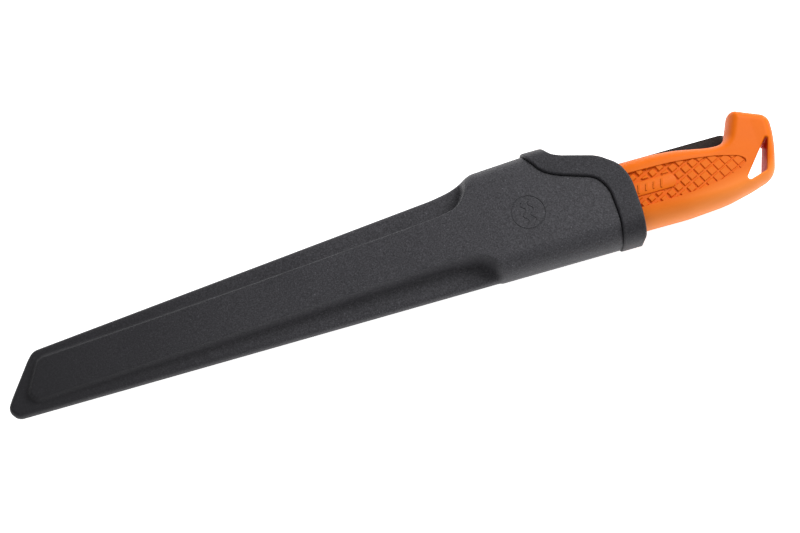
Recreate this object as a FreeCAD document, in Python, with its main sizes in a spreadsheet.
import FreeCAD, Part
import os

import Sketcher
from FreeCAD import Vector

# Sheathed rigging knife, millimetres.  Every sub-part is drawn in the knife's own frame: X runs from
# the sheath's tip to the pommel, Y towards the cutting edge, Z out of the front face, and zero is
# the middle of the blade's thickness.  One shared placement then moves that frame so that the
# origin lies on the belt loop's flat outer face.  The knife draws along +X.

os.makedirs("parts", exist_ok=True)
doc = FreeCAD.newDocument("rigging_knife")
sheet = doc.addObject("Spreadsheet::Sheet", "Sizes")

SIZES = [
    ("origin_shift_x", -123.0, "loop face centre along the knife"),
    ("origin_shift_y", -8.5, "loop face centre across the knife"),
    ("origin_shift_z", 23.8, "loop face below the blade's middle"),
    ("flange_half", 3.5, "half thickness of the sheath's edge flange"),
    ("tube_half", 13.0, "half thickness of the sheath's handle part"),
    ("ramp_start_x", -158.0, "where the raised panel starts to rise"),
    ("ramp_start_z", 5.7, "height of the raised panel at its tip"),
    ("ramp_end_x", 42.0, "where the raised panel reaches the handle part"),
    ("ramp_clear_z", 20.0, "height every sloping cut clears"),
    ("ramp_reach", 80.0, "length of every sloping cut across the knife"),
    ("panel_draft", 18.0, "draft of the raised panel's walls in degrees"),
    ("crest_round", 1.2, "rounding of the raised panel's top edge"),
    ("slot_half", 1.75, "half thickness of the blade's slot"),
    ("cavity_half", 11.2, "half thickness of the handle's cavity"),
    ("cavity_round", 4.0, "rounding of the cavity's long edges"),
    ("tube_round", 6.0, "rounding of the handle part's long edges"),
    ("flange_round", 1.6, "rounding of the flange's outer edge"),
    ("tip_round", 4.0, "rounding of the sheath's tip corners"),
    ("collar_half", 14.2, "half thickness of the mouth collar"),
    ("collar_round", 3.0, "rounding of the collar's outer edges"),
    ("blade_half", 1.3, "half thickness of the blade"),
    ("bevel_height", 8.0, "height of the edge bevel"),
    ("bevel_depth", 1.15, "depth of the edge bevel into each side"),
    ("core_half", 5.5, "half thickness of the handle core"),
    ("grip_half", 10.6, "half thickness of the grip"),
    ("grip_round", 6.0, "rounding of the grip's long edges"),
    ("corner_tight", 3.5, "rounding of the grip's tighter corners"),
    ("corner_wide", 9.0, "rounding of the grip's wider curves"),
    ("eye_round", 0.9, "rounding of the lanyard eye's corners"),
    ("pommel_half", 7.8, "half thickness of the pommel"),
    ("thin_start_x", 108.0, "where the grip starts to thin"),
    ("thin_end_x", 158.0, "where the grip stops thinning"),
    ("thin_end_clear", 30.0, "length the thinning cut clears past the pommel"),
    ("inlay_floor", 6.2, "height of the knurled panel's underside"),
    ("inlay_sink", 0.4, "depth of the knurled panel below the grip's face"),
    ("channel_width", 0.9, "width of a knurling channel"),
    ("channel_step", 5.1, "spacing of the knurling channels along the knife"),
    ("channel_count", 22.0, "number of channels in each direction"),
    ("channel_depth", 0.8, "depth of a knurling channel"),
    ("channel_first_x", 54.0, "first knurling channel"),
    ("channel_lean", 5.0, "how far a channel leans along the knife over the panel"),
    ("loop_width", 25.0, "width of the belt loop"),
    ("loop_middle_y", 8.5, "middle of the belt loop across the knife"),
    ("loop_edge_round", 1.0, "rounding of the belt loop's edges"),
    ("rivet_radius", 2.5, "radius of a rivet's shank"),
    ("rivet_fit", 0.05, "play of a rivet in its holes"),
    ("rivet_head_radius", 4.5, "radius of a rivet's head"),
    ("rivet_head_height", 1.4, "height of a rivet's head"),
    ("washer_radius", 6.0, "radius of a rivet's washer"),
    ("washer_height", 0.8, "height of a rivet's washer"),
    ("rivet_first_x", 64.0, "first rivet along the knife"),
    ("rivet_step_x", 18.0, "spacing of the two rivets"),
    ("rivet_wall_z", -11.4, "inner end of a rivet"),
    ("anchor_back_z", -17.8, "outer face of the loop's riveted end"),
]

# Corner points, (name, x, y); every one becomes a pair of sheet values.
OUTLINES = {
    "flange": [
        ("tip_low", -167.0, -18.5), ("tip_end", -170.2, -13.8), ("tip_high", -154.5, 7.4),
        ("edge_end", 20.0, 23.3), ("flare_low", 27.0, 24.6), ("flare_high", 39.0, 29.6),
        ("inside_high", 46.0, 26.0), ("inside_low", 46.0, -18.5),
    ],
    "panel": [
        ("tip_low", -164.0, -14.6), ("tip_high", -156.2, 4.0), ("edge_side", 19.0, 16.4),
        ("scoop_high", 31.0, 19.4), ("inside_high", 46.0, 24.0), ("inside_low", 46.0, -12.5),
        ("scoop_low", 32.5, -9.6), ("spine_side", 18.0, -8.6),
    ],
    "tube": [
        ("shoulder_low", 38.0, -18.4), ("shoulder_high", 36.0, 29.0), ("edge_start", 40.0, 30.6),
        ("edge_end", 61.8, 30.8), ("groove_start", 62.2, 27.2), ("groove_one", 66.2, 19.7),
        ("groove_two", 72.6, 16.0), ("groove_three", 85.4, 11.8), ("groove_four", 91.2, 5.4),
        ("mouth_low", 91.2, -18.4),
    ],
    "collar": [
        ("heel_high", 61.75, 31.4), ("top", 70.0, 31.6), ("slope_one", 74.5, 25.2),
        ("slope_two", 90.5, 20.2), ("slope_three", 98.5, 14.4), ("lip_high", 101.6, 6.0),
        ("lip_low", 101.9, -9.0), ("bottom", 100.8, -19.2), ("heel_low", 91.2, -19.2),
        ("groove_four", 91.2, 5.4), ("groove_three", 85.4, 11.8), ("groove_two", 72.6, 16.0),
        ("groove_one", 66.2, 19.7), ("groove_start", 62.2, 27.2),
    ],
    "slot": [
        ("tip_low", -160.5, -14.4), ("tip_high", -150.0, 3.6), ("edge_end", 44.0, 20.0),
        ("spine_end", 44.0, -14.4),
    ],
    "cavity": [
        ("low_start", 42.0, -15.2), ("high_start", 42.0, 28.2), ("high_end", 110.0, 28.2),
        ("low_end", 110.0, -15.2),
    ],
    "blade": [
        ("tip", -158.0, -13.2), ("belly_low", -156.0, -11.0), ("belly_high", -144.0, 2.6),
        ("heel", 38.0, 17.8), ("choil", 41.5, 15.0), ("neck", 46.0, 9.0), ("tang_high", 52.0, 8.0),
        ("tang_end_high", 134.0, 4.5), ("tang_end_low", 134.0, -5.0), ("tang_low", 52.0, -8.5),
        ("shoulder", 46.0, -13.2),
    ],
    "core": [
        ("front_low", 47.5, -10.5), ("front_high", 47.5, 14.0), ("high_one", 58.0, 14.0),
        ("high_two", 70.0, 10.5), ("end_high", 146.0, 8.0), ("end_low", 146.0, -7.5),
        ("low_two", 118.0, -10.0),
    ],
    "grip": [
        ("front_low", 45.0, -13.8), ("front_high", 45.0, 22.0), ("guard_front", 50.0, 27.2),
        ("guard_back", 62.0, 27.2), ("finger", 74.0, 15.2), ("palm_high", 100.0, 16.9),
        ("waist_high", 122.0, 16.0), ("waist_back", 144.8, 12.3), ("hook_inner", 150.0, 24.8),
        ("hook_top", 155.4, 25.6), ("hook_outer", 167.6, 19.6), ("heel_side", 166.6, 7.0),
        ("heel_low", 162.0, -7.6), ("belly_back", 146.0, -11.6), ("belly_low", 120.0, -13.9),
    ],
    "eye": [("low", 146.9, -7.9), ("right", 158.5, -4.9), ("apex", 164.2, 11.6)],
    "inlay": [
        ("front_low", 58.0, -6.4), ("front_high", 58.0, 9.4), ("high_one", 112.0, 9.2),
        ("high_two", 136.0, 6.8), ("high_three", 148.4, 4.0), ("nose", 151.8, 1.4),
        ("low_three", 147.4, -1.4), ("low_two", 134.0, -4.6), ("low_one", 112.0, -6.3),
    ],
    "loop": [
        ("anchor_front", 56.0, -13.0), ("end_front", 149.0, -13.0), ("bend_front", 151.4, -15.4),
        ("bend_back", 151.4, -21.4), ("end_back", 149.0, -23.8), ("face_start", 97.0, -23.8),
        ("anchor_back", 90.0, -17.8), ("anchor_toe", 56.0, -17.8),
    ],
    "belt": [
        ("front_start", 95.0, -15.4), ("front_end", 147.4, -15.4), ("back_end", 147.4, -21.4),
        ("back_start", 99.4, -21.4),
    ],
}

EDGE_Y, EDGE_Z = Vector(0, 1, 0), Vector(0, 0, 1)
VALUES = {alias: value for alias, value, _ in SIZES}

row = 1
for alias, value, note in SIZES:
    sheet.set(f"A{row}", note)
    sheet.set(f"B{row}", str(value))
    sheet.setAlias(f"B{row}", alias)
    row += 1
for outline, corners in OUTLINES.items():
    for corner, x, y in corners:
        for axis, value in (("x", x), ("y", y)):
            sheet.set(f"A{row}", f"{outline}: {corner}, {axis}")
            sheet.set(f"B{row}", str(value))
            sheet.setAlias(f"B{row}", f"{outline}_{corner}_{axis}")
            row += 1
doc.recompute()


def new_body(name):
    """An empty body that carries the knife frame's shared placement."""
    body = doc.addObject("PartDesign::Body", name)
    body.Label = name
    for axis in ("x", "y", "z"):
        body.setExpression(f"Placement.Base.{axis}", f"Sizes.origin_shift_{axis}")
    return body


def new_sketch(body, name, plane, height=None):
    """A sketch on one of the body's origin planes, or lifted off it by a sheet expression."""
    sketch = body.newObject("Sketcher::SketchObject", name)
    planes = {feature.Role: feature for feature in body.Origin.OriginFeatures}
    sketch.AttachmentSupport = (planes[plane], [""])
    sketch.MapMode = "FlatFace"
    if height:
        sketch.setExpression("AttachmentOffset.Base.z", height)
    return sketch


def draw_polygon(sketch, corners):
    """Closed straight edges; each corner is a pair of expressions that it stays bound to."""
    points = []
    for pair in corners:
        points.append(Vector(*(float(sketch.evalExpression(text)) for text in pair), 0))
    first = sketch.GeometryCount
    count = len(points)
    for index, point in enumerate(points):
        sketch.addGeometry(Part.LineSegment(point, points[(index + 1) % count]))
    for index in range(count):
        following = first + (index + 1) % count
        sketch.addConstraint(Sketcher.Constraint("Coincident", first + index, 2, following, 1))
    for index, (pair, point) in enumerate(zip(corners, points)):
        for kind, text, value in zip(("DistanceX", "DistanceY"), pair, (point.x, point.y)):
            number = sketch.addConstraint(
                Sketcher.Constraint(kind, -1, 1, first + index, 1, value)
            )
            sketch.setExpression(f"Constraints[{number}]", text)


def draw_outline(sketch, outline):
    """The named outline, each corner bound to its own two sheet values."""
    stems = [f"Sizes.{outline}_{corner}" for corner, _, _ in OUTLINES[outline]]
    draw_polygon(sketch, [(f"{stem}_x", f"{stem}_y") for stem in stems])


def draw_circle(sketch, x, y, radius):
    """A circle bound to three expressions."""
    centre = Vector(float(sketch.evalExpression(x)), float(sketch.evalExpression(y)), 0)
    size = float(sketch.evalExpression(radius))
    index = sketch.addGeometry(Part.Circle(centre, EDGE_Z, size))
    for kind, text, value in (("DistanceX", x, centre.x), ("DistanceY", y, centre.y)):
        number = sketch.addConstraint(Sketcher.Constraint(kind, -1, 1, index, 3, value))
        sketch.setExpression(f"Constraints[{number}]", text)
    number = sketch.addConstraint(Sketcher.Constraint("Radius", index, size))
    sketch.setExpression(f"Constraints[{number}]", radius)


def pad(body, sketch, name, length, sides="One side", reverse=False, draft=None, other=None):
    """Material on one side, on both, or to two different heights."""
    feature = body.newObject("PartDesign::Pad", name)
    feature.Profile = sketch
    feature.SideType = sides
    feature.Reversed = reverse
    feature.setExpression("Length", length)
    if other:
        feature.setExpression("Length2", other)
    if draft:
        feature.setExpression("TaperAngle", draft)
    sketch.Visibility = False
    doc.recompute()
    return feature


def pocket(body, sketch, name, length, sides="One side", reverse=False):
    """A pocket, checked to have removed material."""
    before = body.Shape.Volume
    feature = body.newObject("PartDesign::Pocket", name)
    feature.Profile = sketch
    feature.SideType = sides
    feature.Reversed = reverse
    feature.setExpression("Length", length)
    sketch.Visibility = False
    doc.recompute()
    if not body.Shape.Volume < before - 0.5:
        raise RuntimeError(f"{name} removed nothing")
    return feature


def slope_cut(body, name, points, side):
    """Cuts everything outside a sloping line drawn in the XZ plane, on one side of the knife."""
    sketch = new_sketch(body, f"{name}_outline", "XZ_Plane")
    sign = "" if side > 0 else "-"
    draw_polygon(sketch, [(x, f"{sign}({z})") for x, z in points])
    return pocket(body, sketch, name, "Sizes.ramp_reach", sides="Symmetric")


def edges_where(shape, wanted):
    """Names of the edges whose two ends and middle all pass the test."""
    names = []
    for number, edge in enumerate(shape.Edges, start=1):
        middle = edge.valueAt(0.5 * (edge.FirstParameter + edge.LastParameter))
        if wanted(edge.Vertexes[0].Point, edge.Vertexes[-1].Point, middle):
            names.append(f"Edge{number}")
    return names


def standing_on(points, axis=EDGE_Z):
    """Test for straight edges along an axis that pass through one of the given points."""

    def wanted(start, end, middle):
        along = end - start
        if along.Length < 0.01 or along.cross(axis).Length > 0.01:
            return False
        return any((middle - point).cross(axis).Length < 0.05 for point in points)

    return wanted


def corner_points(outline, names):
    """The named corners of an outline as points of its plane."""
    return [Vector(x, y, 0) for label, x, y in OUTLINES[outline] if label in names]


def level_at(height, extra=lambda middle: True):
    """Test for edges lying at one height."""

    def wanted(start, end, middle):
        level = all(abs(point.z - height) < 0.01 for point in (start, end, middle))
        return level and extra(middle)

    return wanted


def fillet(body, name, wanted, radius):
    """Rounds every edge that passes the test."""
    base = (body.Tip, edges_where(body.Tip.Shape, wanted))
    feature = body.newObject("PartDesign::Fillet", name)
    feature.Base = base
    feature.setExpression("Radius", radius)
    doc.recompute()
    if "Invalid" in feature.State:
        raise RuntimeError(f"{name} could not round {feature.Base[1]}")
    return feature


# ---- sheath: two moulded half shells that meet on the blade's middle plane ----

RAMP_RISE = (VALUES["tube_half"] - VALUES["ramp_start_z"]) / (
    VALUES["ramp_end_x"] - VALUES["ramp_start_x"]
)


def on_ramp(side):
    """Test for the long edges of the raised panel's top."""

    def wanted(start, end, middle):
        for point in (start, end, middle):
            height = VALUES["ramp_start_z"] + RAMP_RISE * (point.x - VALUES["ramp_start_x"])
            if abs(side * point.z - height) > 0.02 or point.x > 35.0:
                return False
        return True

    return wanted


def build_shell(name, side):
    """Half a sheath: edge flange, rising panel, half of the handle tube and its hollows."""
    body = new_body(name)
    away = side < 0

    sketch = new_sketch(body, f"{name}_flange_outline", "XY_Plane")
    draw_outline(sketch, "flange")
    pad(body, sketch, f"{name}_flange", "Sizes.flange_half", reverse=away)
    tips = corner_points("flange", ("tip_low", "tip_end", "tip_high"))
    fillet(body, f"{name}_tip", standing_on(tips), "Sizes.tip_round")
    outside = level_at(side * VALUES["flange_half"], lambda middle: middle.x < 40.0)
    fillet(body, f"{name}_flange_edge", outside, "Sizes.flange_round")

    sketch = new_sketch(body, f"{name}_tube_outline", "XY_Plane")
    draw_outline(sketch, "tube")
    pad(body, sketch, f"{name}_tube", "Sizes.tube_half", reverse=away)
    sketch = new_sketch(body, f"{name}_panel_outline", "XY_Plane")
    draw_outline(sketch, "panel")
    pad(body, sketch, f"{name}_panel", "Sizes.tube_half", reverse=away, draft="-Sizes.panel_draft")
    slope_cut(
        body,
        f"{name}_ramp",
        [
            ("Sizes.ramp_start_x - 10", "Sizes.ramp_start_z"),
            ("Sizes.ramp_start_x", "Sizes.ramp_start_z"),
            ("Sizes.ramp_end_x", "Sizes.tube_half"),
            ("Sizes.ramp_end_x", "Sizes.ramp_clear_z"),
            ("Sizes.ramp_start_x - 10", "Sizes.ramp_clear_z"),
        ],
        side,
    )
    fillet(body, f"{name}_crest", on_ramp(side), "Sizes.crest_round")
    long_edges = level_at(
        side * VALUES["tube_half"],
        lambda middle: middle.x > 41.0 and (middle.y > 30.0 or middle.y < -17.5),
    )
    fillet(body, f"{name}_tube_edge", long_edges, "Sizes.tube_round")

    sketch = new_sketch(body, f"{name}_slot_outline", "XY_Plane")
    draw_outline(sketch, "slot")
    pocket(body, sketch, f"{name}_slot", "Sizes.slot_half", reverse=not away)
    sketch = new_sketch(body, f"{name}_cavity_outline", "XY_Plane")
    draw_outline(sketch, "cavity")
    pocket(body, sketch, f"{name}_cavity", "Sizes.cavity_half", reverse=not away)
    floor = level_at(
        side * VALUES["cavity_half"], lambda middle: middle.y > 28.0 or middle.y < -15.0
    )
    fillet(body, f"{name}_cavity_edge", floor, "Sizes.cavity_round")

    return body


build_shell("sheath_front_shell", 1.0)
back_shell = build_shell("sheath_back_shell", -1.0)

RIVETS = (("first", "Sizes.rivet_first_x"), ("second", "Sizes.rivet_first_x + Sizes.rivet_step_x"))
RIVET_Y = "Sizes.loop_middle_y"


def rivet_holes(body, name):
    """Clearance holes for both rivets, right through the back of the sheath."""
    sketch = new_sketch(body, f"{name}_outline", "XY_Plane")
    for _, x in RIVETS:
        draw_circle(sketch, x, RIVET_Y, "Sizes.rivet_radius + Sizes.rivet_fit")
    return pocket(body, sketch, name, "Sizes.ramp_clear_z + 10")


rivet_holes(back_shell, "back_rivet_holes")

# ---- sheath: proud collar round the slanted mouth ----

collar = new_body("mouth_collar")
sketch = new_sketch(collar, "collar_outline", "XY_Plane")
draw_outline(sketch, "collar")
pad(
    collar, sketch, "collar_band", "Sizes.collar_half", sides="Two sides", other="Sizes.tube_half"
)
corners = corner_points("collar", ("top", "slope_three", "lip_high", "lip_low", "bottom"))
fillet(collar, "collar_corners", standing_on(corners), "Sizes.collar_round")
outer = level_at(VALUES["collar_half"], lambda middle: middle.y > 30.8 or middle.y < -18.0)
fillet(collar, "collar_front_edge", outer, "Sizes.collar_round")
sketch = new_sketch(collar, "collar_cavity_outline", "XY_Plane")
draw_outline(sketch, "cavity")
pocket(collar, sketch, "collar_cavity", "2 * Sizes.cavity_half", sides="Symmetric")


# ---- sheath: belt loop, two rivets and two washers ----

loop = new_body("belt_loop")
sketch = new_sketch(loop, "loop_outline", "XZ_Plane", "-Sizes.loop_middle_y")
draw_outline(sketch, "loop")
pad(loop, sketch, "loop_strap", "Sizes.loop_width", sides="Symmetric")
sketch = new_sketch(loop, "belt_outline", "XZ_Plane", "-Sizes.loop_middle_y")
draw_outline(sketch, "belt")
pocket(loop, sketch, "belt_gap", "Sizes.ramp_reach", sides="Symmetric")
rivet_holes(loop, "loop_rivet_holes")
rim = [
    Vector(x, 0, z)
    for label, x, z in OUTLINES["loop"]
    if label in ("end_front", "bend_front", "bend_back", "end_back")
]
fillet(loop, "loop_end", standing_on(rim, EDGE_Y), "Sizes.loop_edge_round")

for ordinal, x in RIVETS:
    washer = new_body(f"washer_{ordinal}")
    sketch = new_sketch(washer, f"washer_{ordinal}_outline", "XY_Plane", "Sizes.anchor_back_z")
    draw_circle(sketch, x, RIVET_Y, "Sizes.washer_radius")
    draw_circle(sketch, x, RIVET_Y, "Sizes.rivet_radius + Sizes.rivet_fit")
    pad(washer, sketch, f"washer_{ordinal}_disc", "Sizes.washer_height", reverse=True)

    rivet = new_body(f"rivet_{ordinal}")
    under_head = "Sizes.anchor_back_z - Sizes.washer_height"
    sketch = new_sketch(rivet, f"rivet_{ordinal}_head_outline", "XY_Plane", under_head)
    draw_circle(sketch, x, RIVET_Y, "Sizes.rivet_head_radius")
    pad(rivet, sketch, f"rivet_{ordinal}_head", "Sizes.rivet_head_height", reverse=True)
    head_z = VALUES["anchor_back_z"] - VALUES["washer_height"] - VALUES["rivet_head_height"]
    fillet(rivet, f"rivet_{ordinal}_dome", level_at(head_z), "Sizes.rivet_head_height * 0.8")
    sketch = new_sketch(rivet, f"rivet_{ordinal}_shank_outline", "XY_Plane", under_head)
    draw_circle(sketch, x, RIVET_Y, "Sizes.rivet_radius")
    pad(rivet, sketch, f"rivet_{ordinal}_shank", f"Sizes.rivet_wall_z - ({under_head})")


# ---- knife: blade with its tang ----

blade = new_body("blade")
sketch = new_sketch(blade, "blade_outline", "XY_Plane")
draw_outline(sketch, "blade")
pad(blade, sketch, "blade_plate", "2 * Sizes.blade_half", sides="Symmetric")


def cutting_edge(start, end, middle):
    """The two long edges between the heel and the belly."""
    level = abs(abs(start.z) - VALUES["blade_half"]) < 0.01 and abs(start.z - end.z) < 0.01
    return level and middle.y > 0.0 and (end - start).Length > 150.0


base = (blade.Tip, edges_where(blade.Tip.Shape, cutting_edge))
bevel = blade.newObject("PartDesign::Chamfer", "blade_bevel")
bevel.Base = base
bevel.ChamferType = "Two distances"
bevel.setExpression("Size", "Sizes.bevel_depth")
bevel.setExpression("Size2", "Sizes.bevel_height")
doc.recompute()

# ---- knife: hard core moulded round the tang ----

core = new_body("handle_core")
sketch = new_sketch(core, "core_outline", "XY_Plane")
draw_outline(sketch, "core")
pad(core, sketch, "core_block", "2 * Sizes.core_half", sides="Symmetric")
sketch = new_sketch(core, "core_tang_outline", "XY_Plane")
draw_outline(sketch, "blade")
pocket(core, sketch, "core_tang_slot", "2 * Sizes.blade_half", sides="Symmetric")


# ---- knife: grip moulded over the core, with a knurled panel let into each face ----


def thin_to_pommel(body, name, sink, side):
    """The grip's faces close in towards the pommel."""
    top = f"Sizes.grip_half - {sink}"
    low = f"Sizes.pommel_half - {sink}"
    far = "Sizes.thin_end_x + Sizes.thin_end_clear"
    points = [
        ("Sizes.thin_start_x", top), ("Sizes.thin_end_x", low), (far, low),
        (far, "Sizes.ramp_clear_z"), ("Sizes.thin_start_x", "Sizes.ramp_clear_z"),
    ]
    slope_cut(body, name, points, side)


grip = new_body("handle_grip")
sketch = new_sketch(grip, "grip_outline", "XY_Plane")
draw_outline(sketch, "grip")
pad(grip, sketch, "grip_block", "2 * Sizes.grip_half", sides="Symmetric")
wide = ("finger", "palm_high", "waist_high", "belly_back", "belly_low")
tight = (
    "front_low", "front_high", "guard_front", "guard_back", "waist_back", "hook_inner",
    "hook_top", "hook_outer", "heel_side", "heel_low",
)
fillet(grip, "grip_curves", standing_on(corner_points("grip", wide)), "Sizes.corner_wide")
fillet(grip, "grip_corners", standing_on(corner_points("grip", tight)), "Sizes.corner_tight")
for face, side in (("front", 1.0), ("back", -1.0)):
    rim = level_at(side * VALUES["grip_half"])
    fillet(grip, f"grip_{face}_edge", rim, "Sizes.grip_round")
for face, side in (("front", 1.0), ("back", -1.0)):
    thin_to_pommel(grip, f"grip_{face}_thinning", "0", side)
sketch = new_sketch(grip, "grip_core_outline", "XY_Plane")
draw_outline(sketch, "core")
pocket(grip, sketch, "grip_core_hollow", "2 * Sizes.core_half", sides="Symmetric")
sketch = new_sketch(grip, "grip_blade_outline", "XY_Plane")
draw_outline(sketch, "blade")
pocket(grip, sketch, "grip_blade_slot", "2 * Sizes.blade_half", sides="Symmetric")
sketch = new_sketch(grip, "eye_outline", "XY_Plane")
draw_outline(sketch, "eye")
pocket(grip, sketch, "lanyard_eye", "Sizes.ramp_reach", sides="Symmetric")
eye_corners = corner_points("eye", ("low", "right", "apex"))
fillet(grip, "eye_corners", standing_on(eye_corners), "Sizes.eye_round")

for face, side in (("front", 1.0), ("back", -1.0)):
    sign = "" if side > 0 else "-"
    floor = f"{sign}Sizes.inlay_floor"
    sketch = new_sketch(grip, f"grip_{face}_recess_outline", "XY_Plane", floor)
    draw_outline(sketch, "inlay")
    pocket(grip, sketch, f"grip_{face}_recess", "Sizes.ramp_clear_z", reverse=side > 0)

    name = f"knurled_panel_{face}"
    panel = new_body(name)
    sketch = new_sketch(panel, f"{name}_outline", "XY_Plane", floor)
    draw_outline(sketch, "inlay")
    height = "Sizes.grip_half - Sizes.inlay_floor - Sizes.inlay_sink"
    pad(panel, sketch, f"{name}_plate", height, reverse=side < 0)
    thin_to_pommel(panel, f"{name}_thinning", "Sizes.inlay_sink", side)
    top = "Sizes.grip_half - Sizes.inlay_sink - Sizes.channel_depth"
    for family, lean in (("falling", "Sizes.channel_lean"), ("rising", "-Sizes.channel_lean")):
        sketch = new_sketch(
            panel, f"{name}_{family}_outline", "XY_Plane", f"{sign}({top})"
        )
        start = "Sizes.channel_first_x"
        width = "Sizes.channel_width"
        draw_polygon(
            sketch,
            [
                (f"{start} + {lean}", "-12"), (f"{start} + {lean} + {width}", "-12"),
                (f"{start} - {lean} + {width}", "14"), (f"{start} - {lean}", "14"),
            ],
        )
        before = panel.Tip
        channel = panel.newObject("PartDesign::Pocket", f"{name}_{family}_channel")
        channel.Profile = sketch
        channel.Reversed = side > 0
        channel.setExpression("Length", "Sizes.ramp_clear_z")
        sketch.Visibility = False
        pattern = panel.newObject("PartDesign::LinearPattern", f"{name}_{family}_channels")
        pattern.Originals = [channel]
        pattern.Direction = (sketch, ["H_Axis"])
        pattern.setExpression("Length", "Sizes.channel_step * (Sizes.channel_count - 1)")
        pattern.setExpression("Occurrences", "Sizes.channel_count")
        panel.Tip = pattern
        doc.recompute()

# ---- checks and files ----

for item in doc.Objects:
    if "Invalid" in item.State or "Error" in item.State:
        raise RuntimeError(f"{item.Name} failed: {item.State}")
for body in doc.Objects:
    if body.TypeId == "PartDesign::Body":
        shape = body.Shape
        if shape.isNull() or not shape.isValid() or len(shape.Solids) != 1:
            raise RuntimeError(f"{body.Label} has a bad shape")
        shape.exportStep(f"parts/{body.Label}.step")
        print(body.Label, round(shape.Volume), "mm3")
